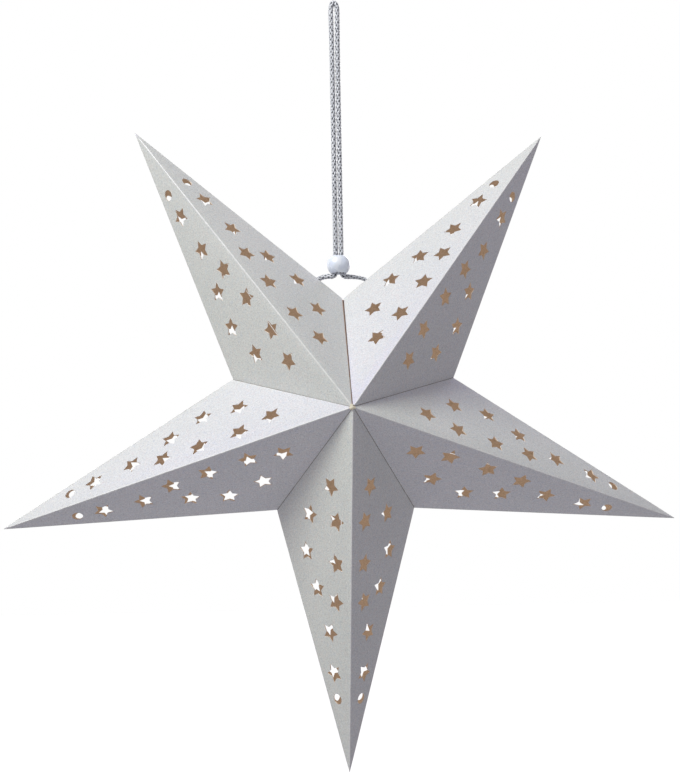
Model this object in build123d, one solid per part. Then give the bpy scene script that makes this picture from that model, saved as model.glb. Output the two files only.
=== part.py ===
from build123d import *
import os
from math import cos, pi, radians, sin, tan

# A flat-folding five-point paper star on a doubled cord with a sliding bead.
# Millimetres, +Z up. The star's front faces -Y and +X is to the right of it.
# The origin is where a hook carries the cord's loop, on the loop's inner side.

# ---- the star -----------------------------------------------------------------
tip_radius = 158.0            # centre of the star to each tip
notch_radius = 52.2           # centre of the star to each notch between two arms
half_depth = 48.0             # outline plane to the front point, and to the back point
card_thickness = 0.4
tip_count = 5
first_tip_angle = 126.0       # the upper left tip, seen from the front, from +X

# ---- where the star hangs below the loop -----------------------------------------
cord_diameter = 2.4
top_notch_drop = 137.8        # top of the loop to the upper notch
star_offset_x = 2.3           # the star hangs a little to the right of the loop

# ---- clearances at the edges that no crease joins ----------------------------------
seam_gap = 0.8                # between the two upper arms, at the notch; none at the points
back_ridge_gap = 0.5          # between an arm's two back panels, at the back point
back_valley_gap = 0.3         # between two arms' back panels, at the back point

# ---- punched pattern, the same on every panel ---------------------------------------
star_hole_radius = 4.5        # centre to each point of a punched star
star_hole_waist = 0.52        # inner corners' radius over the points' radius
round_hole_diameter = 4.7
# each punched star: share of the way to the tip, share to the notch, turn in degrees
star_hole_places = (
    (0.660, 0.208, 0.0),
    (0.531, 0.262, 51.0),
    (0.464, 0.190, 47.0),
    (0.361, 0.185, 19.0),
    (0.364, 0.434, 27.0),
    (0.245, 0.192, 49.0),
    (0.224, 0.580, 26.0),
    (0.131, 0.269, 63.0),
    (0.132, 0.541, 45.0),
)
round_hole_place = (0.745, 0.163)

# ---- glue flaps on the inside ----------------------------------------------------------
flap_width = 7.0
flap_bevel = 6.0              # how much shorter a flap's free edge is, at each end
flap_inset = 0.5              # from the crease to the flap's long edge
valley_flap_start = 27.0      # from the front or back point, along the valley
valley_flap_end = 5.0         # from the notch
closing_flap_start = 52.0     # from the tip, along the crease of the outline
closing_flap_end = 20.0       # from the notch

# ---- cord, knots and bead ----------------------------------------------------------------
hole_from_notch = 15.0        # the cord's hole, along the outline crease
hole_from_crease = 4.0        # and down the back panel
cord_hole_clearance = 0.4
knot_diameter = 6.4
knot_length = 4.4             # from the card inward
knot_seat = 0.8               # how much of the knot's round end is flat against the card
cord_lead = 4.4               # from the card to the cord's first bend
cord_joint_share = 0.35       # where the right end begins, on the straight stretch beside the bead
strand_gap = 0.1              # between the two strands where they lie side by side
bead_diameter = 10.6
bead_hole_clearance = 0.25
bead_hole_round = 0.6         # rounding of the bead hole's two rims
bead_centre = Vector(0.75, 3.0, -119.4)
bead_travel = 95.0

# ---- worked out from the sizes above -------------------------------------------------------
outline_plane_z = cord_diameter - top_notch_drop - notch_radius
star_centre = Vector(star_offset_x, 0, outline_plane_z)
front_point = star_centre + Vector(0, -half_depth, 0)
back_point = star_centre + Vector(0, half_depth, 0)
arm_step = 360.0 / tip_count
strand_half = (cord_diameter + strand_gap) / 2
loop_axis = (Vector(0, 0, 0) - bead_centre).normalized()


def on_outline(radius, angle):
    """A point in the star's outline plane, at an angle from +X seen from the front."""
    return star_centre + Vector(radius * cos(radians(angle)), 0, radius * sin(radians(angle)))


def facet_normal(apex, tip, notch):
    """The facet's normal, pointing out of the star."""
    normal = (tip - apex).cross(notch - apex).normalized()
    if normal.dot(apex - star_centre) < 0:
        normal = normal * -1
    return normal


face_distance = abs(facet_normal(front_point, on_outline(tip_radius, first_tip_angle),
                                 on_outline(notch_radius, first_tip_angle - arm_step / 2))
                    .dot(front_point - star_centre))
inner_scale = 1 - card_thickness / face_distance


def inner(point):
    """The inside of the card behind a point on the outside, along the mitre."""
    return star_centre + (point - star_centre) * inner_scale


def closed_solid(outline, back_outline):
    """A flat-sided solid between two like outlines."""
    count = len(outline)
    faces = [Face(Wire.make_polygon(outline)), Face(Wire.make_polygon(back_outline))]
    for i in range(count):
        j = (i + 1) % count
        faces.append(Face(Wire.make_polygon([outline[i], outline[j], back_outline[j], back_outline[i]])))
    return Solid(Shell(faces))


def crossing(start, along, other_start, other_along, normal):
    """Where two lines of one plane cross."""
    side = normal.cross(other_along)
    return start + along * ((other_start - start).dot(side) / along.dot(side))


def star_outline(radius, waist, turn):
    """Corners of a five-point star about the origin, in its own plane."""
    corners = []
    for i in range(10):
        reach = radius if i % 2 == 0 else radius * waist
        angle = radians(turn + 36 * i)
        corners.append((reach * cos(angle), reach * sin(angle)))
    return corners


def facet_plane(apex, tip, notch):
    """Local X runs along the ridge from the apex to the tip, local Y towards the notch."""
    along = (tip - apex).normalized()
    return Plane(origin=apex, x_dir=along, z_dir=along.cross(notch - apex).normalized())


def punch_tools(apex, tip, notch):
    """The cutters for one panel's pattern, long enough to pass through the card."""
    plane = facet_plane(apex, tip, notch)
    to_tip = plane.to_local_coords(tip)
    to_notch = plane.to_local_coords(notch)
    reach = 3 * card_thickness
    tools = []
    for tip_share, notch_share, turn in star_hole_places:
        spot = to_tip * tip_share + to_notch * notch_share
        corners = [(spot.X + x, spot.Y + y) for x, y in star_outline(star_hole_radius, star_hole_waist, turn)]
        face = Face(Wire.make_polygon([plane.from_local_coords(Vector(x, y, 0)) for x, y in corners]))
        tools.append(extrude(face, amount=reach, dir=plane.z_dir, both=True))
    tip_share, notch_share = round_hole_place
    spot = to_tip * tip_share + to_notch * notch_share
    round_plane = Plane(plane.from_local_coords(spot), x_dir=plane.x_dir, z_dir=plane.z_dir)
    tools.append(round_plane * Cylinder(round_hole_diameter / 2, 2 * reach))
    return tools


def panel(apex, tip, notch, ridge_gap, valley_gap, seam_side):
    """One card facet. Each gap is the whole gap to the neighbour at the apex, none at the far end,
    and the seam's gap is none at the apex."""
    normal = facet_normal(apex, tip, notch)
    toward_notch = normal.cross(tip - apex).normalized()
    if toward_notch.dot(notch - apex) < 0:
        toward_notch = toward_notch * -1
    toward_tip = normal.cross(notch - apex).normalized()
    if toward_tip.dot(tip - apex) < 0:
        toward_tip = toward_tip * -1
    ridge_start = apex + toward_notch * (ridge_gap / 2)
    valley_start = apex + toward_tip * (valley_gap / 2)
    valley_end = notch
    if seam_side:
        valley_end = crossing(notch + toward_tip * (seam_gap / 2), notch - apex, tip, notch - tip, normal)
    corner = crossing(ridge_start, tip - ridge_start, valley_start, valley_end - valley_start, normal)
    outline = [corner, tip, valley_end]
    body = closed_solid(outline, [inner(point) for point in outline])
    for tool in punch_tools(apex, tip, notch):
        body = body - tool
    return body


def cord_hole_spot(tip, notch):
    """Centre of the cord's hole on the back panel's outside, and the panel's outward normal."""
    normal = facet_normal(back_point, tip, notch)
    along = (tip - notch).normalized()
    down = normal.cross(along)
    if down.dot(back_point - notch) < 0:
        down = down * -1
    return notch + along * hole_from_notch + down * hole_from_crease, normal


def strip(start, end, toward, normal):
    """A glue flap against the inside of the card, with bevelled ends, along start to end."""
    along = (end - start).normalized()
    inward = normal * -1
    low = [start, end, end - along * flap_bevel + toward * flap_width, start + along * flap_bevel + toward * flap_width]
    return closed_solid(low, [point + inward * card_thickness for point in low])


def valley_flap(apex, tip, notch):
    """The flap that the arm before this one glues behind this panel, along the valley."""
    normal = facet_normal(apex, tip, notch)
    along = (notch - apex).normalized()
    toward = normal.cross(along)
    if toward.dot(tip - apex) < 0:
        toward = toward * -1
    edge = apex - normal * card_thickness + toward * flap_inset
    length = (notch - apex).length
    return strip(edge + along * valley_flap_start, edge + along * (length - valley_flap_end), toward, normal)


def closing_flap(tip, notch):
    """The flap that closes an arm, behind its back panel, along the crease of the outline."""
    normal = facet_normal(back_point, tip, notch)
    along = (notch - tip).normalized()
    toward = normal.cross(along)
    if toward.dot(back_point - tip) < 0:
        toward = toward * -1
    edge = tip - normal * card_thickness + toward * flap_inset
    length = (notch - tip).length
    return strip(edge + along * closing_flap_start, edge + along * (length - closing_flap_end), toward, normal)


def route_radii(route):
    """The largest radius that each corner's two runs allow."""
    radii = []
    for before, corner, after in zip(route, route[1:], route[2:]):
        shorter = min((corner - before).length, (after - corner).length)
        half_turn = radians((corner - before).get_angle(after - corner)) / 2
        radii.append(0.45 * shorter / tan(half_turn))
    return radii


def cord_tube(name, route):
    """A round tube along straight runs and tangent arcs."""
    radii = route_radii(route)
    path = FilletPolyline(*route, radius=radii)
    section = Plane(path @ 0, z_dir=path % 0) * Circle(cord_diameter / 2)
    tube = sweep(section, path=path)
    expected = pi * cord_diameter ** 2 / 4 * path.length
    print(name, "length", round(path.length, 1), "radii", [round(radius, 1) for radius in radii],
          "volume over section times length", round(tube.volume / expected, 4))
    return tube


def knot(spot, normal):
    """A knot drawn up against the inside of the card, flat where it is seated."""
    radius = knot_diameter / 2
    half = (knot_length + knot_seat) / 2
    seat = spot - normal * card_thickness
    plane = Plane(seat, z_dir=normal * -1)
    lump = scale(Sphere(radius), by=(1, 1, half / radius))
    lump = Pos(0, 0, half - knot_seat) * lump
    keep = Pos(0, 0, knot_length) * Box(2 * knot_diameter, 2 * knot_diameter, 2 * knot_length)
    return plane * (lump & keep)


def bead():
    """A round bead whose hole takes both strands side by side."""
    hole_radius = strand_half + cord_diameter / 2 + bead_hole_clearance
    ball = Sphere(bead_diameter / 2) - Cylinder(hole_radius, 2 * bead_diameter)
    rims = ball.edges().filter_by(GeomType.CIRCLE)
    ball = fillet(rims, bead_hole_round)
    return Plane(bead_centre, x_dir=(1, 0, 0), z_dir=loop_axis) * ball


def strand_point(below_loop, half_gap):
    """A point of a strand, its distance down the doubled cord and to the right of its middle."""
    return loop_axis * -below_loop + Vector(half_gap, 0, 0)


os.makedirs("parts", exist_ok=True)
parts = {}

# ---- panels and flaps, arm by arm from the seam, anticlockwise seen from the front --------------
# each arm: its name, and the names of its two sides in that order
arms = (
    ("upper_left_arm", "right", "left"),
    ("left_arm", "upper", "lower"),
    ("bottom_arm", "left", "right"),
    ("right_arm", "lower", "upper"),
    ("upper_right_arm", "right", "left"),
)
for index, (arm, first_side, second_side) in enumerate(arms):
    tip_angle = first_tip_angle + index * arm_step
    tip = on_outline(tip_radius, tip_angle)
    for side, sign in ((first_side, -1), (second_side, 1)):
        notch = on_outline(notch_radius, tip_angle + sign * arm_step / 2)
        at_seam = (index == 0 and sign < 0) or (index == tip_count - 1 and sign > 0)
        front = panel(front_point, tip, notch, 0, 0, at_seam)
        back = panel(back_point, tip, notch, back_ridge_gap, back_valley_gap, at_seam)
        if at_seam:
            spot, normal = cord_hole_spot(tip, notch)
            hole = Cylinder(cord_diameter / 2 + cord_hole_clearance, 6 * card_thickness)
            back = back - Plane(spot, z_dir=normal) * hole
        parts[f"{arm}_front_{side}_panel"] = front
        parts[f"{arm}_back_{side}_panel"] = back
        if sign < 0 and not at_seam:
            parts[f"{arm}_front_glue_flap"] = valley_flap(front_point, tip, notch)
            parts[f"{arm}_back_glue_flap"] = valley_flap(back_point, tip, notch)
        if sign > 0:
            parts[f"{arm}_closing_flap"] = closing_flap(tip, notch)

# ---- cord, knots and bead ---------------------------------------------------------------------------
upper_left_tip = on_outline(tip_radius, first_tip_angle)
upper_right_tip = on_outline(tip_radius, first_tip_angle - arm_step)
top_notch = on_outline(notch_radius, first_tip_angle - arm_step / 2)
left_spot, left_normal = cord_hole_spot(upper_left_tip, top_notch)
right_spot, right_normal = cord_hole_spot(upper_right_tip, top_notch)

loop_half_width = 1.5         # half the loop's width at its top
loop_rise = cord_diameter / 2
right_foot = Vector(3.3, 3.45, -124.65)
right_rest = Vector(8.0, 4.6, -124.65)
cord_joint = right_foot + (right_rest - right_foot) * cord_joint_share
left_route = [
    left_spot - left_normal * card_thickness,
    left_spot + left_normal * cord_lead,
    Vector(-5.0, 4.5, -124.35),
    Vector(-1.75, 3.45, -124.65),
    strand_point(123.5, -strand_half),
    strand_point(22.0, -strand_half),
    strand_point(9.0, -1.4),
    Vector(-loop_half_width, 0, loop_rise),
    Vector(loop_half_width, 0, loop_rise),
    strand_point(9.0, 1.4),
    strand_point(22.0, strand_half),
    strand_point(123.55, strand_half),
    right_foot,
    cord_joint,
]
right_route = [
    cord_joint,
    right_rest,
    right_spot + right_normal * cord_lead,
    right_spot - right_normal * card_thickness,
]
parts["cord_loop"] = cord_tube("cord_loop", left_route)
parts["cord_right_end"] = cord_tube("cord_right_end", right_route)
parts["cord_left_knot"] = knot(left_spot, left_normal)
parts["cord_right_knot"] = knot(right_spot, right_normal)
parts["sliding_bead"] = bead()

for name, part in parts.items():
    export_step(part, f"parts/{name}.step")
print(len(parts), "nodes")
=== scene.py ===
from math import acos, ceil, cos, pi, radians, sin, sqrt

import bpy
import numpy as np
from mathutils import Matrix, Vector
from mathutils.geometry import delaunay_2d_cdt


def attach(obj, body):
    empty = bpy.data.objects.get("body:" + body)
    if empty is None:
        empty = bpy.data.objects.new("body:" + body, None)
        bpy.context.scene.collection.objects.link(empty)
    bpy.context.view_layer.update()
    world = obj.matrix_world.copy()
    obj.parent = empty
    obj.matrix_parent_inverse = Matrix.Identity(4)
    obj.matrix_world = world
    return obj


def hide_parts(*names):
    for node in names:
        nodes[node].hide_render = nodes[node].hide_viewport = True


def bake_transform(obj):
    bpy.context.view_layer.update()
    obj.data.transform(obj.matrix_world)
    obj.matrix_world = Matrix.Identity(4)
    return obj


# A folding paper star on a doubled braided cord with a pearl bead.
# Shapes are worked out in millimetres, in the frame's axes, and go to Blender in metres.

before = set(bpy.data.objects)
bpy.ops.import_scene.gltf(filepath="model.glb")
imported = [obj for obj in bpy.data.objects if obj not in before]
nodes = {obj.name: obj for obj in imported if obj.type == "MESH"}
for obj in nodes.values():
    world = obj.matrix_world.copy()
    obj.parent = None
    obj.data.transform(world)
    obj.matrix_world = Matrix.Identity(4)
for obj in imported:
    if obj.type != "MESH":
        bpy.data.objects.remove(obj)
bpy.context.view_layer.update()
MM = 0.001

# ---- sizes of the star, in mm ----------------------------------------------------
STAR_CENTRE = np.array([2.3, 0.0, -187.6])
TIP_RADIUS = 158.0
NOTCH_RADIUS = 52.2
HALF_DEPTH = 48.0
CARD = 0.4
ARM_STEP = 72.0
FIRST_TIP_ANGLE = 126.0
SEAM_GAP = 0.8
BACK_RIDGE_GAP = 0.5
BACK_VALLEY_GAP = 0.3
STAR_HOLE_RADIUS = 4.5
STAR_HOLE_WAIST = 0.52
ROUND_HOLE_RADIUS = 2.35
CORD_HOLE_RADIUS = 1.6
CORD_DIAMETER = 2.4
# each punched star: share of the way to the tip, share to the notch, turn in degrees
STAR_HOLES = (
    (0.660, 0.208, 0.0), (0.531, 0.262, 51.0), (0.464, 0.190, 47.0),
    (0.361, 0.185, 19.0), (0.364, 0.434, 27.0), (0.245, 0.192, 49.0),
    (0.224, 0.580, 26.0), (0.131, 0.269, 63.0), (0.132, 0.541, 45.0),
)
ROUND_HOLE = (0.745, 0.163)
# each arm from the seam on, with its two sides: the clockwise one and the other
ARMS = (
    ("upper_left_arm", "right", "left"),
    ("left_arm", "upper", "lower"),
    ("bottom_arm", "left", "right"),
    ("right_arm", "lower", "upper"),
    ("upper_right_arm", "right", "left"),
)
FRONT_POINT = STAR_CENTRE + np.array([0, -HALF_DEPTH, 0])
BACK_POINT = STAR_CENTRE + np.array([0, HALF_DEPTH, 0])


def unit(v):
    return v / np.linalg.norm(v)


def on_outline(radius, angle):
    return STAR_CENTRE + radius * np.array([cos(radians(angle)), 0, sin(radians(angle))])


# ---- camera, at the photograph's angle ---------------------------------------------
CAMERA_DISTANCE = 500.0       # mm, from the star's centre
FOCAL_PX = 1117.8
PICTURE = (680, 775)
STAR_AT_PX = (344.6, 414.4)   # where the star's centre comes in the picture
STAR_YAW, STAR_PITCH, STAR_ROLL = 4.13, -3.58, -0.81   # how the star is turned to the camera

turn = (Matrix.Rotation(radians(STAR_ROLL), 3, "Y") @ Matrix.Rotation(radians(STAR_PITCH), 3, "X")
        @ Matrix.Rotation(radians(STAR_YAW), 3, "Z")).transposed()
right, ahead, up = (turn @ Vector(axis) for axis in ((1, 0, 0), (0, 1, 0), (0, 0, 1)))
camera_data = bpy.data.cameras.new("camera")
camera = bpy.data.objects.new("camera", camera_data)
bpy.context.scene.collection.objects.link(camera)
camera.matrix_world = Matrix.Translation((Vector(STAR_CENTRE) - ahead * CAMERA_DISTANCE) * MM) @ Matrix(
    (right, up, -ahead)).transposed().to_4x4()
camera_data.sensor_width = 36.0
camera_data.lens = camera_data.sensor_width * FOCAL_PX / PICTURE[1]
camera_data.shift_x = (PICTURE[0] / 2 - STAR_AT_PX[0]) / PICTURE[1]
camera_data.shift_y = (STAR_AT_PX[1] - PICTURE[1] / 2) / PICTURE[1]
camera_data.clip_start, camera_data.clip_end = 0.01, 50
bpy.context.scene.camera = camera


# ---- mesh helpers ---------------------------------------------------------------------
def make_object(name, vertices, faces, slots, material_of=None, smooth=True, sharp=None):
    """A mesh object from points in mm. material_of gives each face's slot number."""
    mesh = bpy.data.meshes.new(name)
    mesh.from_pydata([tuple(float(x) * MM for x in v) for v in vertices], [], faces)
    for slot in slots:
        mesh.materials.append(slot)
    if material_of is not None:
        mesh.polygons.foreach_set("material_index", material_of)
    mesh.polygons.foreach_set("use_smooth", [bool(smooth)] * len(mesh.polygons))
    if sharp is not None:
        mesh.set_sharp_from_angle(angle=radians(sharp))
    mesh.update()
    mesh.validate()
    obj = bpy.data.objects.new(name, mesh)
    bpy.context.scene.collection.objects.link(obj)
    return obj


# ---- materials --------------------------------------------------------------------------
WHITE = (1, 1, 1)


def feed(tree, node, inputs):
    """Gives a node's inputs their values, or links them to sockets."""
    for key, value in inputs.items():
        if isinstance(value, bpy.types.NodeSocket):
            tree.links.new(value, node.inputs[key])
        else:
            node.inputs[key].default_value = value


def add(tree, kind, inputs=None, **settings):
    """A node with its settings and its inputs, which are values or sockets to link."""
    node = tree.nodes.new(kind)
    for key, value in settings.items():
        setattr(node, key, value)
    feed(tree, node, inputs or {})
    return node


def node_material(name):
    """A material with its node tree, its shader and the coordinates of the object it is on."""
    material = bpy.data.materials.new(name)
    material.use_nodes = True
    tree = material.node_tree
    shader = next(n for n in tree.nodes if n.type == "BSDF_PRINCIPLED")
    return material, tree, shader, add(tree, "ShaderNodeTexCoord").outputs["Object"]


def noise_at(tree, coordinates, scale, detail, roughness):
    return add(tree, "ShaderNodeTexNoise", {"Vector": coordinates, "Scale": scale, "Detail": detail,
                                            "Roughness": roughness}).outputs["Fac"]


def ramp(tree, value, stops):
    """A colour ramp; stops are (place, colour)."""
    node = add(tree, "ShaderNodeValToRGB", {"Fac": value})
    elements = node.color_ramp.elements
    while len(elements) < len(stops):
        elements.new(0.5)
    for element, (place, colour) in zip(elements, stops):
        element.position = place
        element.color = (*colour, 1)
    return node.outputs["Color"]


def math_node(tree, operation, a, b):
    return add(tree, "ShaderNodeMath", {0: a, 1: b}, operation=operation).outputs[0]


def spread(tree, value, low, high, first=0.0, last=1.0):
    """The value, brought from the range first to last to the range low to high."""
    return add(tree, "ShaderNodeMapRange", {"Value": value, "From Min": first, "From Max": last,
                                            "To Min": low, "To Max": high}).outputs["Result"]


def mix_colour(tree, share, a, b, blend="MIX"):
    return add(tree, "ShaderNodeMix", {0: share, 6: a, 7: b}, data_type="RGBA", blend_type=blend).outputs[2]


def multiply(tree, a, b):
    return mix_colour(tree, 1.0, a, b, "MULTIPLY")


def bump(tree, shader, height, distance, strength, after=None):
    """Relief on a shader, distance in metres. after is the relief that it lies on."""
    inputs = {"Height": height, "Distance": distance, "Strength": strength}
    if after is not None:
        inputs["Normal"] = after
    normal = add(tree, "ShaderNodeBump", inputs).outputs["Normal"]
    tree.links.new(normal, shader.inputs["Normal"])
    return normal


PEARL_IOR = 2.2               # mica in the coat
PEARL_TINT = (0.26, 0.10, 1.0, 1.0)    # its reflections are lavender, and its body the paler for it


def pearl_card():
    """Pearl-coated card: fine mica flakes in a pale coat over a faintly mottled sheet."""
    material, tree, shader, place = node_material("pearl_card")
    flakes = noise_at(tree, place, 1900.0, 2.0, 0.7)
    tone = noise_at(tree, place, 800.0, 3.0, 0.6)
    clouds = noise_at(tree, place, 34.0, 3.0, 0.55)
    flake_colour = ramp(tree, flakes, [(0.30, (0.585, 0.61, 0.535)), (0.44, (0.76, 0.79, 0.685)),
                                       (0.56, (0.80, 0.83, 0.715)), (0.70, (0.97, 0.99, 0.88))])
    tone_colour = ramp(tree, tone, [(0.30, (0.93, 0.945, 1.0)), (0.50, WHITE), (0.70, (1.0, 0.95, 0.955))])
    cloud_colour = ramp(tree, clouds, [(0.35, (0.965, 0.975, 0.97)), (0.65, WHITE)])
    feed(tree, shader, {
        "Base Color": multiply(tree, multiply(tree, flake_colour, tone_colour), cloud_colour),
        "Roughness": spread(tree, flakes, 0.62, 0.45, 0.3, 0.7),
        "IOR": PEARL_IOR, "Specular Tint": PEARL_TINT})
    fibres = bump(tree, shader, tone, 0.00008, 0.45)
    bump(tree, shader, flakes, 0.00009, 1.0, fibres)
    return material


PAINTED_GLOW = 0.55          # painted glow: the kraft shines with this share of its own colour, standing in for the light that comes through the card


def kraft_card(name, low, high):
    """Uncoated brown card with short darker and lighter fibres, with a painted glow of its own colour
    standing in for light through the card.
    """
    material, tree, shader, place = node_material(name)
    stretched = add(tree, "ShaderNodeMapping", {"Vector": place, "Scale": (1.0, 1.0, 3.2)}).outputs["Vector"]
    fibres = noise_at(tree, stretched, 1100.0, 4.0, 0.65)
    specks = noise_at(tree, place, 420.0, 3.0, 0.7)
    middle = tuple((a + b) / 2 for a, b in zip(low, high))
    fibre_colour = ramp(tree, fibres, [(0.30, low), (0.5, middle), (0.72, high)])
    speck_colour = ramp(tree, specks, [(0.30, (0.82, 0.80, 0.78)), (0.42, WHITE), (1.0, WHITE)])
    colour = multiply(tree, fibre_colour, speck_colour)
    feed(tree, shader, {"Base Color": colour, "Emission Color": colour, "Emission Strength": PAINTED_GLOW,
                        "Roughness": 0.85, "Specular IOR Level": 0.25})
    bump(tree, shader, fibres, 0.00008, 0.5)
    return material


def grained(name, noise, stops, roughness, relief):
    """A material of one grain. noise is its scale, detail and roughness, stops are its colours,
    and relief is the depth and strength with which it stands out."""
    material, tree, shader, place = node_material(name)
    grain = noise_at(tree, place, *noise)
    feed(tree, shader, {"Base Color": ramp(tree, grain, stops), "Roughness": roughness})
    bump(tree, shader, grain, *relief)
    return material


def liner_in_painted_shade(name, low, high):
    """The brown liner where the card is cut, rubbed and fibrous, coloured dark as painted shade, out of the
    light from inside.
    """
    return grained(name, (700.0, 4.0, 0.65), [(0.3, low), (0.7, high)], 0.85, (0.00006, 0.5))


def crease_card(name, colours):
    """The coat over a scored crease, stretched, so that its fibres show."""
    material, tree, shader, place = node_material(name)
    grain = noise_at(tree, place, 1700.0, 3.0, 0.65)
    worn = noise_at(tree, place, 160.0, 3.0, 0.6)
    base = ramp(tree, grain, list(zip((0.3, 0.5, 0.7), colours)))
    wear = ramp(tree, worn, [(0.35, (0.93, 0.93, 0.93)), (0.6, WHITE)])
    feed(tree, shader, {"Base Color": multiply(tree, base, wear), "Roughness": 0.5, "Metallic": 0.08})
    bump(tree, shader, grain, 0.00005, 0.5)
    return material


def metallic_yarn():
    """Flat silver yarn: foil wound round a thread, with fine lines along it."""
    material, tree, shader, place = node_material("metallic_yarn")
    along = add(tree, "ShaderNodeUVMap", uv_map="yarn").outputs["UV"]
    lines = add(tree, "ShaderNodeTexWave", {"Vector": along, "Scale": 1.0, "Distortion": 1.2, "Detail": 1.0},
                wave_type="BANDS", bands_direction="DIAGONAL").outputs["Fac"]
    glint = noise_at(tree, place, 1900.0, 2.0, 0.6)
    base = ramp(tree, glint, [(0.30, (0.34, 0.36, 0.41)), (0.48, (0.68, 0.70, 0.75)),
                              (0.62, (0.93, 0.94, 0.98))])
    shade = ramp(tree, lines, [(0.0, (0.78, 0.79, 0.82)), (0.5, WHITE)])
    feed(tree, shader, {"Base Color": multiply(tree, base, shade), "Metallic": 0.1,
                        "Roughness": spread(tree, glint, 0.22, 0.42)})
    bump(tree, shader, lines, 0.00004, 0.7)
    return material


def pearl_bead():
    """A pearl-coated bead: pale body, faint cloudy bands and a clear glossy coat."""
    material, tree, shader, place = node_material("pearl_bead")
    clouds = noise_at(tree, place, 210.0, 2.0, 0.5)
    specks = noise_at(tree, place, 2400.0, 2.0, 0.6)
    body = ramp(tree, clouds, [(0.3, (0.76, 0.83, 1.0)), (0.55, (0.83, 0.89, 1.0)),
                               (0.75, (0.91, 0.93, 1.0))])
    grain = ramp(tree, specks, [(0.3, (0.97, 0.97, 0.98)), (0.6, WHITE)])
    feed(tree, shader, {"Base Color": multiply(tree, body, grain), "IOR": 1.9, "Coat Weight": 0.6,
                        "Coat Roughness": 0.08, "Roughness": spread(tree, clouds, 0.22, 0.32)})
    bump(tree, shader, clouds, 0.00004, 0.3)
    return material


PEARL = pearl_card()
KRAFT = kraft_card("kraft_inside", (0.26, 0.19, 0.13), (0.41, 0.30, 0.215))
FLAP = kraft_card("kraft_flap", (0.28, 0.205, 0.14), (0.42, 0.31, 0.225))
# the card's cut edge: pale core with the brown liner showing through
EDGE = grained("card_cut_edge", (1500.0, 3.0, 0.7),
               [(0.3, (0.66, 0.50, 0.38)), (0.5, (0.86, 0.75, 0.64)), (0.7, (0.93, 0.87, 0.80))],
               0.8, (0.00006, 0.5))
CREASE = crease_card("pearl_crease", ((0.70, 0.71, 0.73), (0.80, 0.80, 0.81), (0.92, 0.92, 0.92)))
OUTLINE_CREASE = crease_card("pearl_outline_crease",
                             ((0.40, 0.40, 0.40), (0.52, 0.52, 0.50), (0.66, 0.66, 0.63)))
# painted shade: the seam's lip is coloured near black for the shadow in the seam's gap, paler on its left
# share
SEAM_PAINTED_SHADE = liner_in_painted_shade("seam_painted_shade", (0.05, 0.028, 0.022), (0.13, 0.078, 0.062))
# the cut edge in a glued valley: a dark joint, darkened further as painted shade
VALLEY_EDGE_AND_SHADE = liner_in_painted_shade("valley_cut_edge_painted_shade", (0.15, 0.13, 0.11), (0.28, 0.245, 0.21))
SEAM_PALE = liner_in_painted_shade("seam_lip_pale_side", (0.33, 0.21, 0.16), (0.50, 0.34, 0.27))
YARN = metallic_yarn()
# the dark elastic core that shows in the gaps of the braid, coloured near black so that it also paints the
# shade in those gaps
CORE = grained("elastic_core_gap_shade", (2200.0, 2.0, 0.6),
               [(0.3, (0.008, 0.009, 0.014)), (0.7, (0.030, 0.032, 0.042))], 0.6, (0.00004, 0.6))
BEAD = pearl_bead()
# a dried drop of clear yellowish glue
GLUE = grained("dried_glue", (900.0, 2.0, 0.6),
               [(0.3, (0.74, 0.66, 0.47)), (0.7, (0.93, 0.89, 0.76))], 0.3, (0.00008, 0.4))


# ---- the cord: first the route, then the braid along it ------------------------------------
def facet_normal(apex, tip, notch):
    normal = unit(np.cross(tip - apex, notch - apex))
    return normal if normal @ (apex - STAR_CENTRE) > 0 else -normal


TOP_NOTCH = on_outline(NOTCH_RADIUS, FIRST_TIP_ANGLE - ARM_STEP / 2)
HOLE_FROM_NOTCH, HOLE_FROM_CREASE = 15.0, 4.0     # the cord's holes, along and across the crease


def cord_hole(tip_angle):
    """Centre of the cord's hole on a back panel beside the seam, and the panel's outward normal."""
    tip = on_outline(TIP_RADIUS, tip_angle)
    normal = facet_normal(BACK_POINT, tip, TOP_NOTCH)
    along = unit(tip - TOP_NOTCH)
    down = np.cross(normal, along)
    if down @ (BACK_POINT - TOP_NOTCH) < 0:
        down = -down
    return TOP_NOTCH + along * HOLE_FROM_NOTCH + down * HOLE_FROM_CREASE, normal


BEAD_CENTRE = np.array([0.75, 3.0, -119.4])
BEAD_DIAMETER = 10.6
LOOP_AXIS = unit(-BEAD_CENTRE)
STRAND_HALF = 1.25            # half the distance between the middles of the two strands
RIGHT_FOOT, RIGHT_REST = np.array([3.3, 3.45, -124.65]), np.array([8.0, 4.6, -124.65])
CORD_JOINT = RIGHT_FOOT + (RIGHT_REST - RIGHT_FOOT) * 0.35
LEAD = 4.4                    # how far the cord comes straight out of the card


def strand_point(below_loop, half_gap):
    return LOOP_AXIS * -below_loop + np.array([half_gap, 0, 0])


left_spot, left_normal = cord_hole(FIRST_TIP_ANGLE)
right_spot, right_normal = cord_hole(FIRST_TIP_ANGLE - ARM_STEP)
LEFT_ROUTE = [
    left_spot - left_normal * CARD, left_spot + left_normal * LEAD,
    (-5.0, 4.5, -124.35), (-1.75, 3.45, -124.65),
    strand_point(123.5, -STRAND_HALF), strand_point(108.0, -STRAND_HALF),
    strand_point(22.0, -STRAND_HALF), strand_point(9.0, -1.4),
    (-1.5, 0, 1.2), (1.5, 0, 1.2),
    strand_point(9.0, 1.4), strand_point(22.0, STRAND_HALF),
    strand_point(108.0, STRAND_HALF), strand_point(123.55, STRAND_HALF),
    RIGHT_FOOT, CORD_JOINT,
]
RIGHT_ROUTE = [
    CORD_JOINT, RIGHT_REST,
    right_spot + right_normal * LEAD, right_spot - right_normal * CARD,
]


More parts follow.
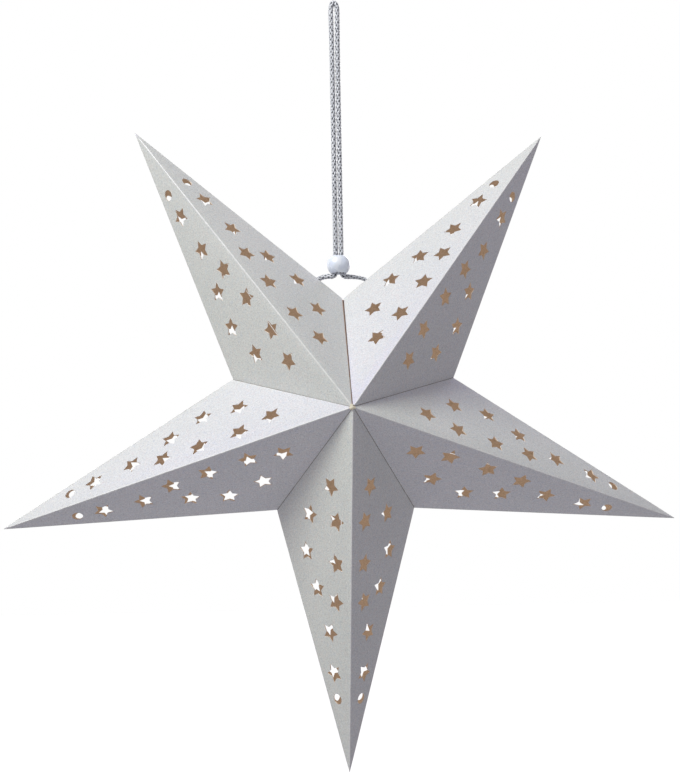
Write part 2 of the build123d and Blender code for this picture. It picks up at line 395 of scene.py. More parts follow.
def route_line(name, route):
    """The points, in mm, that Blender gives for a smooth NURBS spline on these control points."""
    curve = bpy.data.curves.new(name, "CURVE")
    curve.dimensions = "3D"
    curve.resolution_u = 24
    spline = curve.splines.new("NURBS")
    spline.points.add(len(route) - 1)
    for point, place in zip(spline.points, route):
        point.co = (*(float(x) * MM for x in place), 1)
    spline.order_u = 3
    spline.use_endpoint_u = True
    holder = bpy.data.objects.new(name, curve)
    mesh = bpy.data.meshes.new_from_object(holder)
    line = np.array([v.co for v in mesh.vertices], float) / MM
    bpy.data.meshes.remove(mesh)
    bpy.data.objects.remove(holder)
    bpy.data.curves.remove(curve)
    return line


def even_line(line, step):
    """The line again with points that lie step apart, and their distances along it."""
    along = np.concatenate([[0], np.cumsum(np.linalg.norm(np.diff(line, axis=0), axis=1))])
    at = np.linspace(0, along[-1], int(ceil(along[-1] / step)) + 1)
    return np.stack([np.interp(at, along, line[:, k]) for k in range(3)], axis=1), at


def carried_frames(line, first_side):
    """A side and a second side at each point, carried along the line without twisting."""
    tangents = np.gradient(line, axis=0)
    tangents /= np.linalg.norm(tangents, axis=1)[:, None]
    side = unit(first_side - tangents[0] * (first_side @ tangents[0]))
    sides = [side]
    for i in range(1, len(line)):
        side = unit(sides[-1] - tangents[i] * (sides[-1] @ tangents[i]))
        sides.append(side)
    sides = np.array(sides)
    return sides, np.cross(tangents, sides)


BRAID_LAY = 11.2              # one turn of a yarn
GAPS_A_TURN = 4               # of the braid
YARNS = 4                     # each way round
YARN_WIDTH, YARN_THICK = 0.72, 0.20
BRAID_RADIUS = 0.97           # middle of the yarns
BRAID_WAVE = 0.11             # over and under
CORE_RADIUS = 0.86
CORE_SIDES, CORE_STEP = 12, 0.45
YARN_STEP = 0.28              # between two sections of a yarn
LINES_ACROSS, LINES_ALONG = 3, 1.5     # scale of the yarn's lines in its own coordinates
# a yarn's section, in shares of its width and its thickness
YARN_SECTION = np.array([(-0.5, 0.0), (-0.36, 0.36), (-0.12, 0.5), (0.12, 0.5), (0.36, 0.36),
                         (0.5, 0.0), (0.36, -0.36), (0.12, -0.5), (-0.12, -0.5), (-0.36, -0.36)])
LINE_STEP = 0.1               # between two places at which the cord's line is worked out


class Tube:
    """Places on and in a cord: by distance along it, angle round it and radius."""

    def __init__(self, line, first_side, squeeze=None):
        self.line, self.at = even_line(line, LINE_STEP)
        self.sides, self.others = carried_frames(self.line, first_side)
        self.length = self.at[-1]
        self.squeeze = squeeze

    def place(self, s, angle, radius):
        s = np.clip(s, 0, self.length)
        middle, side, other = (np.stack([np.interp(s, self.at, array[:, k]) for k in range(3)], axis=-1)
                               for array in (self.line, self.sides, self.others))
        wide, flat = (1.0, 1.0) if self.squeeze is None else self.squeeze(s)
        radius = np.asarray(radius)
        return (middle + side * (np.cos(angle) * radius * wide)[..., None]
                + other * (np.sin(angle) * radius * flat)[..., None])


def cord_piece(obj, uvs, body, node):
    """The yarn's coordinates, the body the piece rides and the node it replaces."""
    layer = obj.data.uv_layers.new(name="yarn")
    layer.data.foreach_set("uv", np.array(uvs, np.float32).ravel())
    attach(obj, body)
    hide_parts(node)
    return obj


def braid(name, line, body, node, squeeze=None):
    """A braided cord: a dark core, which also paints the shade in the gaps, and two sets of flat yarns that
    cross over and under.
    """
    tube = Tube(line, np.array([0.0, 0.0, 1.0]), squeeze)
    vertices, faces, materials, uvs = [], [], [], []

    def add_grid(points, slot, uv):
        """A closed tube through rows of points, with a cap at each end."""
        rows, columns = points.shape[:2]
        start = len(vertices)
        vertices.extend(points.reshape(-1, 3))
        for i in range(rows - 1):
            for j in range(columns):
                k = (j + 1) % columns
                faces.append((start + i * columns + j, start + i * columns + k,
                              start + (i + 1) * columns + k, start + (i + 1) * columns + j))
                materials.append(slot)
                uvs.extend([uv(i, j), uv(i, j + 1), uv(i + 1, j + 1), uv(i + 1, j)])
        for row, order in ((0, -1), (rows - 1, 1)):
            cap = [start + row * columns + j for j in range(columns)][::order]
            faces.append(cap)
            materials.append(slot)
            uvs.extend([(0.0, 0.0)] * columns)

    core_at = np.linspace(0, tube.length, int(ceil(tube.length / CORE_STEP)) + 1)
    angles = np.arange(CORE_SIDES) * 2 * pi / CORE_SIDES
    s, a = np.meshgrid(core_at, angles, indexing="ij")
    add_grid(tube.place(s, a, np.full_like(s, CORE_RADIUS)), 1, lambda i, j: (j / CORE_SIDES, i * CORE_STEP))

    slope = np.arctan2(2 * pi * BRAID_RADIUS, BRAID_LAY)
    steps = np.linspace(0, tube.length, int(ceil(tube.length / YARN_STEP)) + 1)
    across, lift = YARN_SECTION[:, 0] * YARN_WIDTH, YARN_SECTION[:, 1] * YARN_THICK
    for way in (1, -1):
        for k in range(YARNS):
            phase = k * 2 * pi / YARNS
            s = steps[:, None] - across[None, :] * sin(slope) * way
            middle_angle = way * 2 * pi * steps / BRAID_LAY + phase
            angle = middle_angle[:, None] + across[None, :] * cos(slope) / BRAID_RADIUS
            wave = way * BRAID_WAVE * np.cos(2 * pi * steps * GAPS_A_TURN / BRAID_LAY)
            radius = BRAID_RADIUS + wave[:, None] + lift[None, :]
            add_grid(tube.place(s, angle, radius), 0,
                     lambda i, j: (across[j % len(across)] / YARN_WIDTH * LINES_ACROSS,
                                   i * YARN_STEP * LINES_ALONG))
    return cord_piece(make_object(name, vertices, faces, [YARN, CORE], materials, sharp=50), uvs, body, node)


left_line = route_line("left_route", LEFT_ROUTE)
right_line = route_line("right_route", RIGHT_ROUTE)
ROOT_BODY, RIGHT_BODY = "upper_left_arm_back_right", "upper_right_arm_back_left"
loop = braid("cord_loop_braid", left_line, ROOT_BODY, "cord_loop")
tail_length = float(np.linalg.norm(np.diff(right_line, axis=0), axis=1).sum())
TAIL_EASE = 4.0               # over which the right end's flattening sets in
TAIL_NARROW, TAIL_THICKEN = 0.22, 0.10


def flattened(s):
    """The right end is pulled flat between the bead and the card."""
    share = np.clip(np.minimum(s / TAIL_EASE, (tail_length - s) / TAIL_EASE), 0, 1)
    return 1 - TAIL_NARROW * share, 1 + TAIL_THICKEN * share


tail = braid("cord_right_end_braid", right_line, RIGHT_BODY, "cord_right_end", flattened)

# ---- knots: the cord's end tied on itself inside the card --------------------------------------
KNOT_REACH, KNOT_DEPTH = 3.2, 4.4
KNOT_STRAND = 0.86            # radius of the strand, drawn tight
KNOT_LOBES = 1.35             # how far the three lobes swing, against the circle they swing about
KNOT_STEPS, KNOT_SIDES = 180, 10
KNOT_RIPPLE, KNOT_RIPPLES = 0.07, 48   # the yarns' relief: its share of the radius, and their number


def knot(name, spot, normal, body, node):
    """An overhand knot: a three-lobed winding of the cord, drawn up against the card."""
    wide = KNOT_REACH - KNOT_STRAND
    deep = (KNOT_DEPTH - 2 * KNOT_STRAND) / 2
    turns = np.linspace(0, 2 * pi, KNOT_STEPS + 1)
    x = (np.sin(turns) + KNOT_LOBES * np.sin(2 * turns)) / (1 + KNOT_LOBES) * wide
    y = (np.cos(turns) - KNOT_LOBES * np.cos(2 * turns)) / (1 + KNOT_LOBES) * wide
    z = -np.sin(3 * turns) * deep
    inward = -normal
    side = unit(np.cross(inward, (0, 0, 1)))
    other = np.cross(inward, side)
    middle = spot + inward * (CARD + KNOT_DEPTH / 2)
    line = middle + x[:, None] * side + y[:, None] * other + z[:, None] * inward
    ring = np.arange(KNOT_SIDES) * 2 * pi / KNOT_SIDES
    tangents = np.gradient(line, axis=0)
    tangents[0] = tangents[-1] = line[1] - line[-2]
    tangents /= np.linalg.norm(tangents, axis=1)[:, None]
    out = line - middle
    out -= tangents * (out * tangents).sum(1)[:, None]
    out /= np.linalg.norm(out, axis=1)[:, None]
    second = np.cross(tangents, out)
    vertices, faces, uvs = [], [], []
    for i in range(KNOT_STEPS):
        for angle in ring:
            ripple = 0.5 + 0.5 * cos(2 * angle + KNOT_RIPPLES * turns[i])
            radius = KNOT_STRAND * (1 - KNOT_RIPPLE * ripple)
            vertices.append(line[i] + radius * (cos(angle) * out[i] + sin(angle) * second[i]))
    for i in range(KNOT_STEPS):
        row, next_row = i * KNOT_SIDES, (i + 1) % KNOT_STEPS * KNOT_SIDES
        for j in range(KNOT_SIDES):
            k = (j + 1) % KNOT_SIDES
            faces.append((row + j, row + k, next_row + k, next_row + j))
            uvs.extend([((j + a) / 3, (i + b) / 3) for a, b in ((0, 0), (1, 0), (1, 1), (0, 1))])
    return cord_piece(make_object(name, vertices, faces, [YARN]), uvs, body, node)


left_knot = knot("cord_left_knot_tied", left_spot, left_normal, ROOT_BODY, "cord_left_knot")
right_knot = knot("cord_right_knot_tied", right_spot, right_normal, RIGHT_BODY, "cord_right_knot")


# ---- bead ---------------------------------------------------------------------------------------
def lathe(name, profile, centre, axis, sides, slots):
    """A closed ring of a profile (distance from the axis, height) turned round the axis."""
    axis = unit(axis)
    side = unit(np.cross((0, 1, 0), axis))
    other = np.cross(axis, side)
    vertices, faces = [], []
    count = len(profile)
    for i in range(sides):
        angle = 2 * pi * i / sides
        out = side * cos(angle) + other * sin(angle)
        vertices.extend(centre + out * radius + axis * height for radius, height in profile)
    for i in range(sides):
        row, next_row = i * count, (i + 1) % sides * count
        for j in range(count):
            k = (j + 1) % count
            faces.append((row + j, row + k, next_row + k, next_row + j))
    return make_object(name, vertices, faces, slots, sharp=40)


BEAD_CLEARANCE = 0.25         # between the bead's hole and the two strands
BEAD_RIM = 0.6                # rounding of the hole's two rims
BEAD_SIDES, BEAD_ARC_POINTS, BEAD_RIM_POINTS = 72, 49, 7
bead_radius = BEAD_DIAMETER / 2
bead_hole = STRAND_HALF + CORD_DIAMETER / 2 + BEAD_CLEARANCE
rim_reach = bead_hole + BEAD_RIM
rim_height = sqrt((bead_radius - BEAD_RIM) ** 2 - rim_reach ** 2)
top_angle = acos(rim_height / (bead_radius - BEAD_RIM))
outside = [(bead_radius * sin(a), bead_radius * cos(a))
           for a in np.linspace(top_angle, pi - top_angle, BEAD_ARC_POINTS)]
lower_rim = [(rim_reach + BEAD_RIM * cos(a), -rim_height + BEAD_RIM * sin(a))
             for a in np.linspace(top_angle - pi / 2, -pi, BEAD_RIM_POINTS)[1:]]
upper_rim = [(r, -z) for r, z in reversed(lower_rim)]
bead = lathe("pearl_bead_turned", outside + lower_rim + upper_rim[:-1], BEAD_CENTRE, LOOP_AXIS,
             BEAD_SIDES, [BEAD])
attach(bead, "bead")
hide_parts("sliding_bead")


# ---- card panels ----------------------------------------------------------------------------------
RIDGE_ROUND = 0.42            # radius of a scored crease's outside
OUTLINE_ROUND = 0.46
ROUND_STEPS = 3
VALLEY_CUT = 0.22             # width of the cut edge that shows in a glued valley
VALLEY_STEP = 0.12            # how deep it goes down there
BOW = 0.010                   # how far a facet crowns, over its own width there
BOW_START = 0.35              # share of the way to the tip over which it sets in
GRID = 6.0                    # spacing of the points inside a facet
ROW_SHARE = 0.9               # of GRID, between two rows of them
EDGE_SHARE = 0.28             # of GRID, that they stay away from every outline
FACET_SPAN = (165, 70)        # the rows reach over this much along the ridge and across
COAT, LINER, CUT, VALLEY = range(4)    # a card's material slots


def cross_2d(a, b):
    return a[0] * b[1] - a[1] * b[0]


def meet(line_a, line_b):
    """Where two lines cross; a line is (point, direction)."""
    (p, u), (q, v) = line_a, line_b
    return p + u * (cross_2d(q - p, v) / cross_2d(u, v))


class Facet:
    """One card facet in its own plane: X along the ridge from the apex, Y towards the notch."""

    def __init__(self, apex, tip, notch, ridge_gap, valley_gap, seam_side, valley_cut=0.0):
        self.apex, self.tip, self.notch = apex, tip, notch
        self.valley_cut = valley_cut
        self.x = unit(tip - apex)
        self.y = unit((notch - apex) - self.x * ((notch - apex) @ self.x))
        self.out = facet_normal(apex, tip, notch)
        self.distance = self.out @ (apex - STAR_CENTRE)
        self.foot = self.flat(STAR_CENTRE)
        self.flat_tip, self.flat_notch = self.flat(tip), self.flat(notch)
        toward_tip = unit(self.flat_tip - self.flat_notch * ((self.flat_tip @ self.flat_notch)
                                                             / (self.flat_notch @ self.flat_notch)))
        ridge_start = np.array([0, ridge_gap / 2])
        valley_start = toward_tip * valley_gap / 2
        valley_end = self.flat_notch
        if seam_side:
            valley_end = meet((self.flat_notch + toward_tip * SEAM_GAP / 2, self.flat_notch),
                              (self.flat_tip, self.flat_notch - self.flat_tip))
        corner = meet((ridge_start, self.flat_tip - ridge_start), (valley_start, valley_end - valley_start))
        self.corners = [corner, self.flat_tip, valley_end]

    def flat(self, point):
        return np.array([(point - self.apex) @ self.x, (point - self.apex) @ self.y])

    def solid(self, spot, depth=0.0):
        """The point in space at a spot of the plane, that deep below the outside."""
        return self.apex + self.x * spot[0] + self.y * spot[1] - self.out * depth

    def crown(self, spot):
        """How far the card bows out at a spot: none at the edges."""
        to_tip, to_notch = np.linalg.solve(np.array([self.flat_tip, self.flat_notch]).T, spot)
        rest = max(1 - to_tip, 1e-6)
        across = min(max(to_notch / rest, 0.0), 1.0)
        fade = min(max(to_tip / BOW_START, 0.0), 1.0)
        fade = fade * fade * (3 - 2 * fade)
        width = rest * np.linalg.norm(self.flat_notch)
        return BOW * width * 4 * across * (1 - across) * fade

    def ring(self, level):
        """The three corners of the panel's edge at one level of its rounding, with depths.
        Its sides are the ridge, the outline and the valley, in this order."""
        lines, depths = [], []
        for i in range(3):
            a, b = self.corners[i], self.corners[(i + 1) % 3]
            along = unit(b - a)
            inward = np.array([-along[1], along[0]])
            if inward @ (self.corners[(i + 2) % 3] - a) < 0:
                inward = -inward
            lean = inward @ (self.foot - a) / self.distance
            if level == "inner":
                inset, depth = lean * CARD, CARD
            elif i == 2:
                depth = VALLEY_STEP * level / ROUND_STEPS
                inset = lean * depth + self.valley_cut * (1 - level / ROUND_STEPS)
            else:
                radius = RIDGE_ROUND if i == 0 else OUTLINE_ROUND
                half = np.arctan2(1, lean)
                angle = (pi / 2 - half) * level / ROUND_STEPS
                inset, depth = radius * (lean - sin(angle)), radius * (1 - cos(angle))
            lines.append((a + inward * inset, b - a))
            depths.append(depth)
        spots = [meet(lines[i - 1], lines[i]) for i in range(3)]
        return spots, [(depths[i - 1] + depths[i]) / 2 for i in range(3)]

    def holes(self):
        """The punched holes' corners in the plane."""
        found = []
        for to_tip, to_notch, turned in STAR_HOLES:
            spot = self.flat_tip * to_tip + self.flat_notch * to_notch
            corners = []
            for i in range(10):
                reach = STAR_HOLE_RADIUS * (1 if i % 2 == 0 else STAR_HOLE_WAIST)
                angle = radians(turned + 36 * i)
                corners.append(spot + reach * np.array([cos(angle), sin(angle)]))
            found.append(corners)
        spot = self.flat_tip * ROUND_HOLE[0] + self.flat_notch * ROUND_HOLE[1]
        found.append(self.circle(spot, ROUND_HOLE_RADIUS, 28))
        return found

    @staticmethod
    def circle(spot, radius, count):
        angles = (2 * pi * i / count for i in range(count))
        return [spot + radius * np.array([cos(angle), sin(angle)]) for angle in angles]


def is_inside(spot, points):
    """Whether a spot of the plane lies in a closed outline."""
    found = False
    for a, b in zip(points, list(points[1:]) + [points[0]]):
        if (a[1] > spot[1]) != (b[1] > spot[1]):
            if spot[0] < a[0] + (b[0] - a[0]) * (spot[1] - a[1]) / (b[1] - a[1]):
                found = not found
    return found


def fill(loops, inner_points):
    """Triangles of a plane area: its outline first, then the holes' outlines, then free points."""
    spots = [Vector(p) for loop_points in loops for p in loop_points] + [Vector(p) for p in inner_points]
    edges, start = [], 0
    for loop_points in loops:
        count = len(loop_points)
        edges += [(start + i, start + (i + 1) % count) for i in range(count)]
        start += count
    made, _, triangles, origin, _, _ = delaunay_2d_cdt(spots, edges, [], 0, 1e-5)
    if len(made) != len(spots):
        raise ValueError("the fill added points")
    kept = []
    for triangle in triangles:
        corners = [origin[i][0] for i in triangle]
        middle = sum((np.array(spots[i]) for i in corners), np.zeros(2)) / 3
        inside = [is_inside(middle, points) for points in loops]
        if inside[0] and not any(inside[1:]):
            kept.append(tuple(corners))
    return kept


def free_points(loops):
    """Points spread over the inside of a facet, away from every outline."""
    spots = []
    segments = [(np.array(a), np.array(b)) for points in loops
                for a, b in zip(points, points[1:] + points[:1])]
    starts = np.array([a for a, b in segments])
    runs = np.array([b - a for a, b in segments])
    corners = [np.array(p) for p in loops[0]]
    for i in range(int(FACET_SPAN[0] / GRID) + 2):
        for j in range(int(FACET_SPAN[1] / GRID) + 2):
            spot = np.array([(i + 0.5 * (j % 2)) * GRID, j * GRID * ROW_SHARE])
            sides = [cross_2d(corners[(k + 1) % 3] - corners[k], spot - corners[k]) for k in range(3)]
            if not (all(s > 0 for s in sides) or all(s < 0 for s in sides)):
                continue
            t = np.clip(((spot - starts) * runs).sum(1) / (runs * runs).sum(1), 0, 1)
            if np.linalg.norm(spot - starts - t[:, None] * runs, axis=1).min() > EDGE_SHARE * GRID:
                spots.append(spot)
    return spots


def panel(name, facet, extra_hole, seam_side):
    """The card of one facet: outside, inside, rounded edges and the punched holes' walls."""
    rings = [facet.ring(level) for level in range(ROUND_STEPS + 1)]
    inner_spots = facet.ring("inner")[0]
    holes = facet.holes()
    if extra_hole is not None:
        holes.append(facet.circle(facet.flat(extra_hole), CORD_HOLE_RADIUS, 24))
    outline = [list(rings[0][0])] + holes
    inside = free_points(outline)
    triangles = fill(outline, inside)
    inner_triangles = fill([list(inner_spots)] + holes, inside)
    flip = np.cross(facet.x, facet.y) @ facet.out < 0
    spots = [p for points in outline for p in points] + inside
    inner_plane = [p for points in [inner_spots] + holes for p in points] + inside
    vertices = [facet.solid(p, -facet.crown(p)) for p in spots]
    offset = len(vertices)
    vertices += [facet.solid(p, CARD - facet.crown(p)) for p in inner_plane]
    faces, slots = [], []

    def face(indices, slot, turned):
        faces.append(tuple(indices)[::-1] if turned else tuple(indices))
        slots.append(slot)

    def area(points, tri):
        a, b, c = (np.array(points[i]) for i in tri)
        return cross_2d(b - a, c - a)

    for tri in triangles:
        face(tri, COAT, (area(spots, tri) < 0) != flip)
    for tri in inner_triangles:
        face([i + offset for i in tri], LINER, (area(inner_plane, tri) > 0) != flip)
    start = 3
    for points in holes:
        count = len(points)
        for i in range(count):
            j = (i + 1) % count
            face((start + i, start + j, start + j + offset, start + i + offset), CUT, flip)
        start += count
    corner_rings = [list(range(3))]
    for ring_spots, depths in rings[1:]:
        corner_rings.append(list(range(len(vertices), len(vertices) + 3)))
        vertices += [facet.solid(p, depth) for p, depth in zip(ring_spots, depths)]
    corner_rings.append([offset + i for i in range(3)])
    turned = area(spots, (0, 1, 2)) > 0
    for level in range(len(corner_rings) - 1):
        near, far = corner_rings[level], corner_rings[level + 1]
        for i in range(3):
            j = (i + 1) % 3
            slot = COAT
            if level == len(corner_rings) - 2 or (i == 2 and seam_side):
                slot = CUT
            elif i == 2 and facet.valley_cut:
                slot = VALLEY
            face((near[i], near[j], far[j], far[i]), slot, turned != flip)
    obj = make_object(name, vertices, faces, [PEARL, KRAFT, EDGE, VALLEY_EDGE_AND_SHADE], slots, sharp=30)
    return obj


SKIN_STATIONS, SKIN_ANGLES = 24, 9
SKIN_PROUD, SKIN_DEEP = 0.035, 0.07    # above and below the crease's rounding
SKIN_END, SKIN_EASE = 0.25, 2.5        # it starts with this share of its rise, the rest comes over this


def skin(name, start, end, first, second, radius, trims, slot):
    """The coat over a crease between two facets: a thin skin laid along the crease.
    trims are the lengths it leaves free at the crease's start and end."""
    trim_start, trim_end = trims
    along = unit(end - start)
    first_in = first - along * (first @ along)
    second_in = second - along * (second @ along)
    first_in, second_in = unit(first_in), unit(second_in)
    whole = acos(float(first_in @ second_in))
    out = -unit(first_in + second_in)
    side = unit(first_in - second_in)
    middle_back = radius / sin(whole / 2)
    reach = pi / 2 - whole / 2
    length = np.linalg.norm(end - start)
    stations = [trim_start + (length - trim_start - trim_end) * k / SKIN_STATIONS
                for k in range(SKIN_STATIONS + 1)]
    angles = np.linspace(reach, -reach, SKIN_ANGLES)
    vertices, faces = [], []
    for station in stations:
        rise = min(1.0, SKIN_END + (station - trim_start) / SKIN_EASE,
                   SKIN_END + (length - trim_end - station) / SKIN_EASE)
        centre = start + along * station - out * middle_back
        for angle in angles:
            proud = SKIN_PROUD * rise * cos(angle / reach * pi / 2)
            vertices.append(centre + (radius + proud) * (out * cos(angle) + side * sin(angle)))
        for angle in angles[::-1]:
            vertices.append(centre + (radius - SKIN_DEEP) * (out * cos(angle) + side * sin(angle)))
    count = 2 * len(angles)
    for i in range(len(stations) - 1):
        for j in range(count):
            k = (j + 1) % count
            faces.append((i * count + j, i * count + k, (i + 1) * count + k, (i + 1) * count + j))
    faces.append(tuple(range(count))[::-1])
    faces.append(tuple(range((len(stations) - 1) * count, len(stations) * count)))
    if np.cross(side, out) @ along > 0:
        faces = [f[::-1] for f in faces]
    obj = make_object(name, vertices, faces, [slot], sharp=40)
    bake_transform(obj)


OUTLINE_TRIMS, RIDGE_TRIMS = (3.5, 1.5), (2.0, 4.0)

for index, (arm, first_side, second_side) in enumerate(ARMS):
    tip_angle = FIRST_TIP_ANGLE + index * ARM_STEP
    tip = on_outline(TIP_RADIUS, tip_angle)
    notches = {}
    for side, sign in ((first_side, -1), (second_side, 1)):
        notch = on_outline(NOTCH_RADIUS, tip_angle + sign * ARM_STEP / 2)
        notches[side] = notch
        at_seam = (index == 0 and sign < 0) or (index == len(ARMS) - 1 and sign > 0)
        for which, apex, ridge_gap, valley_gap in (("front", FRONT_POINT, 0, 0),
                                                   ("back", BACK_POINT, BACK_RIDGE_GAP, BACK_VALLEY_GAP)):
            cut = VALLEY_CUT if which == "front" and sign < 0 and not at_seam else 0.0
            facet = Facet(apex, tip, notch, ridge_gap, valley_gap, at_seam, cut)
            hole = None
            if at_seam and which == "back":
                hole = left_spot if index == 0 else right_spot
            card = panel(f"{arm}_{which}_{side}_card", facet, hole, at_seam)
            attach(card, f"{arm}_{which}_{side}")
            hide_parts(f"{arm}_{which}_{side}_panel")
        skin(f"{arm}_{side}_outline_crease", tip, notch, FRONT_POINT - tip, BACK_POINT - tip, OUTLINE_ROUND,
             OUTLINE_TRIMS, OUTLINE_CREASE)
    skin(f"{arm}_front_ridge_crease", FRONT_POINT, tip, notches[first_side] - FRONT_POINT,
         notches[second_side] - FRONT_POINT, RIDGE_ROUND, RIDGE_TRIMS,
         CREASE)


# ---- the front point: the liner's edge in the seam, dark with painted shade, and a drop of glue --------
LIP_PROUD = 0.03              # how far the lip lies on the card
LIP_DEEP = 0.10               # how far below the card's outside its free edge is
LIP_THICK = 0.13
LIP_LEAST = 0.55              # its least width on its own panel
LIP_OVER = 0.12               # of that width, what lies on the card beside the seam
LIP_CLEAR = 0.05              # between the lip and the panel across the seam
LIP_ROUGH = 0.04              # how much its free edge wanders
LIP_SPLIT = 0.42              # share of its width that is pale
LIP_FIRST, LIP_LAST = 0.02, 0.985      # shares of the way from the front point to the notch
LIP_STATIONS = 70


def seam_shade_lip():
    """The liner's rough edge stands out from the upper left arm and shuts the seam's front. It is coloured
    as painted shade in the seam, paler on its left share.
    """
    along = unit(TOP_NOTCH - FRONT_POINT)
    tips = [on_outline(TIP_RADIUS, FIRST_TIP_ANGLE - turned) for turned in (0, ARM_STEP)]
    left_out, right_out = (facet_normal(FRONT_POINT, tip, TOP_NOTCH) for tip in tips)
    to_left, to_right = (unit(tip - FRONT_POINT - along * ((tip - FRONT_POINT) @ along)) for tip in tips)
    rng = np.random.default_rng(7)
    vertices, faces, materials = [], [], []
    for share in np.linspace(LIP_FIRST, LIP_LAST, LIP_STATIONS):
        middle = FRONT_POINT + (TOP_NOTCH - FRONT_POINT) * share
        half = SEAM_GAP / 2 * share
        left = max(half + LIP_OVER, LIP_LEAST)
        reach = max(half - LIP_CLEAR - LIP_ROUGH * rng.random(), 0.0)
        split = (left + reach) * LIP_SPLIT - left
        row = []
        free_lift = -LIP_DEEP if reach > 0 else LIP_PROUD
        for across, lift in ((-left, LIP_PROUD), (split, LIP_PROUD), (reach, free_lift)):
            point = middle + (to_left * -across if across < 0 else to_right * across)
            out = left_out if across <= 0 else right_out
            row.append((point + out * lift, point + out * (lift - LIP_THICK)))
        vertices += [top for top, under in row] + [under for top, under in row[::-1]]
    for i in range(LIP_STATIONS - 1):
        for j in range(6):
            k = (j + 1) % 6
            faces.append((i * 6 + j, (i + 1) * 6 + j, (i + 1) * 6 + k, i * 6 + k))
            # slot 0 is the paler share, slot 1 the painted shade
            materials.append(0 if j in (0, 4, 5) else 1)
    for corner, order in ((0, 1), (6 * (LIP_STATIONS - 1), -1)):
        faces.append(tuple([corner + j for j in range(6)][::order]))
        materials.append(1)
    obj = make_object("seam_shade_lip", vertices, faces, [SEAM_PALE, SEAM_PAINTED_SHADE], materials, smooth=False)
    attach(obj, "upper_left_arm_front_right")


seam_shade_lip()

DROP_SIDES, DROP_RINGS = 36, 7
DROP_REACH = 1.2              # how far the glue drop spreads from the front point
DROP_LEAN = 0.25              # its rim lies this much more to the left
DROP_RISE = 0.34              # its rim lies this far behind its middle
DROP_BACK = 0.02              # its middle lies this far behind the front point
DROP_RIPPLE = 0.05
DROP_WALL, DROP_END = 0.9, 1.3         # depth of its wall, and of the point that closes it
CRACK_RINGS, CRACK_SIDES = range(2, 6), (4, 5, 6, 24)    # a crack of shadow runs across it


def glue_drop():
    """A dried drop of glue that holds the front point together."""
    vertices = [FRONT_POINT + np.array([0.0, DROP_BACK, 0.0])]
    for ring in range(1, DROP_RINGS + 1):
        share = ring / DROP_RINGS
        for i in range(DROP_SIDES):
            angle = 2 * pi * i / DROP_SIDES
            reach = DROP_REACH * share * (1 + 0.16 * cos(3 * angle + 0.7) + 0.10 * cos(5 * angle + 2.0))
            ripple = DROP_RIPPLE * cos(4 * angle + 5 * share) * share
            vertices.append(FRONT_POINT + np.array([reach * cos(angle) - DROP_LEAN * share,
                                                    DROP_BACK + DROP_RISE * share * share + abs(ripple),
                                                    reach * sin(angle)]))
    vertices += [rim + np.array([0.0, DROP_WALL, 0.0]) for rim in vertices[-DROP_SIDES:]]
    vertices.append(FRONT_POINT + np.array([0.0, DROP_END, 0.0]))
    faces, materials = [], []
    last = 1 + DROP_RINGS * DROP_SIDES
    for i in range(DROP_SIDES):
        j = (i + 1) % DROP_SIDES
        faces.append((0, 1 + i, 1 + j))
        materials.append(0)
        for ring in range(DROP_RINGS):
            a, b = 1 + ring * DROP_SIDES + i, 1 + ring * DROP_SIDES + j
            faces.append((a, a + DROP_SIDES, b + DROP_SIDES, b))
            materials.append(1 if ring in CRACK_RINGS and i in CRACK_SIDES else 0)
        faces.append((last + i, len(vertices) - 1, last + j))
        materials.append(0)
    obj = make_object("glue_drop", vertices, faces, [GLUE, SEAM_PAINTED_SHADE], materials, sharp=60)
    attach(obj, "upper_left_arm_front_right")


glue_drop()

for name, node in nodes.items():
    if name.endswith("_flap"):
        node.data.materials.clear()
        node.data.materials.append(FLAP)


# ---- floor, lights and background --------------------------------------------------------------------
# the lengths of this section are in metres
FLOOR_LEVEL = -1.05
FLOOR_SIZE, FLOOR_CELLS = 14.0, 8
FLOOR_GLOW = 0.80             # to the camera only, so that the floor is white there


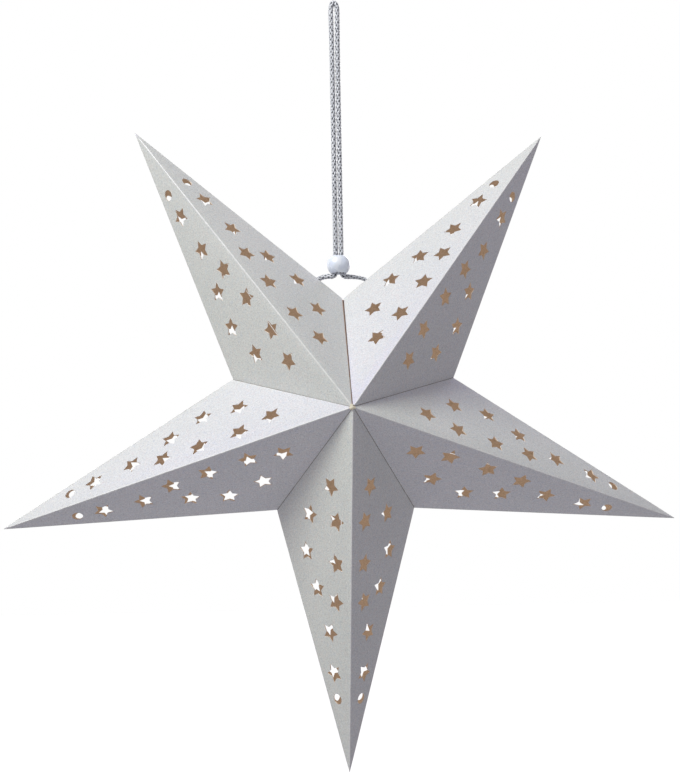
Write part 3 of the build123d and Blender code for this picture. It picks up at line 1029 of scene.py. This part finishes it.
def floor():
    edge, row = FLOOR_SIZE / 2, FLOOR_CELLS + 1
    vertices = [(-edge + FLOOR_SIZE * i / FLOOR_CELLS, -edge + FLOOR_SIZE * j / FLOOR_CELLS, FLOOR_LEVEL)
                for i in range(row) for j in range(row)]
    faces = [(i * row + j, (i + 1) * row + j, (i + 1) * row + j + 1, i * row + j + 1)
             for i in range(FLOOR_CELLS) for j in range(FLOOR_CELLS)]
    material, tree, shader, place = node_material("pale_floor")
    grain = noise_at(tree, place, 3.0, 3.0, 0.5)
    seen = add(tree, "ShaderNodeLightPath").outputs["Is Camera Ray"]
    feed(tree, shader, {
        "Base Color": ramp(tree, grain, [(0.3, (0.86, 0.86, 0.865)), (0.7, (0.90, 0.90, 0.90))]),
        "Roughness": 0.9, "Specular IOR Level": 0.1, "Emission Color": (1, 1, 1, 1),
        "Emission Strength": math_node(tree, "MULTIPLY", seen, FLOOR_GLOW)})
    mesh = bpy.data.meshes.new("floor")
    mesh.from_pydata(vertices, [], faces)
    mesh.materials.append(material)
    obj = bpy.data.objects.new("floor", mesh)
    bpy.context.scene.collection.objects.link(obj)


floor()

AMBIENT = 0.283               # the world's light on the star; seen directly or in a gloss it is white
AMBIENT_COLOUR = (1.0, 0.955, 1.02)
world = bpy.data.worlds.new("world")
bpy.context.scene.world = world
world.use_nodes = True
tree = world.node_tree
background = next(n for n in tree.nodes if n.type == "BACKGROUND")
path = add(tree, "ShaderNodeLightPath").outputs
shown = math_node(tree, "MAXIMUM", path["Is Camera Ray"],
                  math_node(tree, "MAXIMUM", path["Is Glossy Ray"], path["Is Transmission Ray"]))
feed(tree, background, {"Color": mix_colour(tree, shown, (*AMBIENT_COLOUR, 1), (*WHITE, 1)),
                        "Strength": spread(tree, shown, AMBIENT, 1.0)})


def lamp(name, direction, distance, size, level, colour):
    """A square soft light. level is the light on a surface that faces it: 1 shows a colour as written."""
    data = bpy.data.lights.new(name, "AREA")
    data.shape = "SQUARE"
    data.size = size
    data.energy = level * pi * pi * distance * distance
    data.color = colour
    obj = bpy.data.objects.new(name, data)
    bpy.context.scene.collection.objects.link(obj)
    toward = Vector(direction).normalized()
    obj.location = Vector(STAR_CENTRE) * MM + toward * distance
    obj.rotation_mode = "QUATERNION"
    obj.rotation_quaternion = toward.to_track_quat("Z", "Y")


lamp("key", (-0.5453, -0.515, 0.6614), 0.95, 0.42, 0.80, (0.985, 1.0, 0.97))
lamp("back_fill", (0.35, 0.85, 0.45), 2.2, 1.2, 0.30, (1.0, 1.0, 1.0))

bpy.context.scene.view_settings.view_transform = "Standard"

bpy.context.view_layer.update()
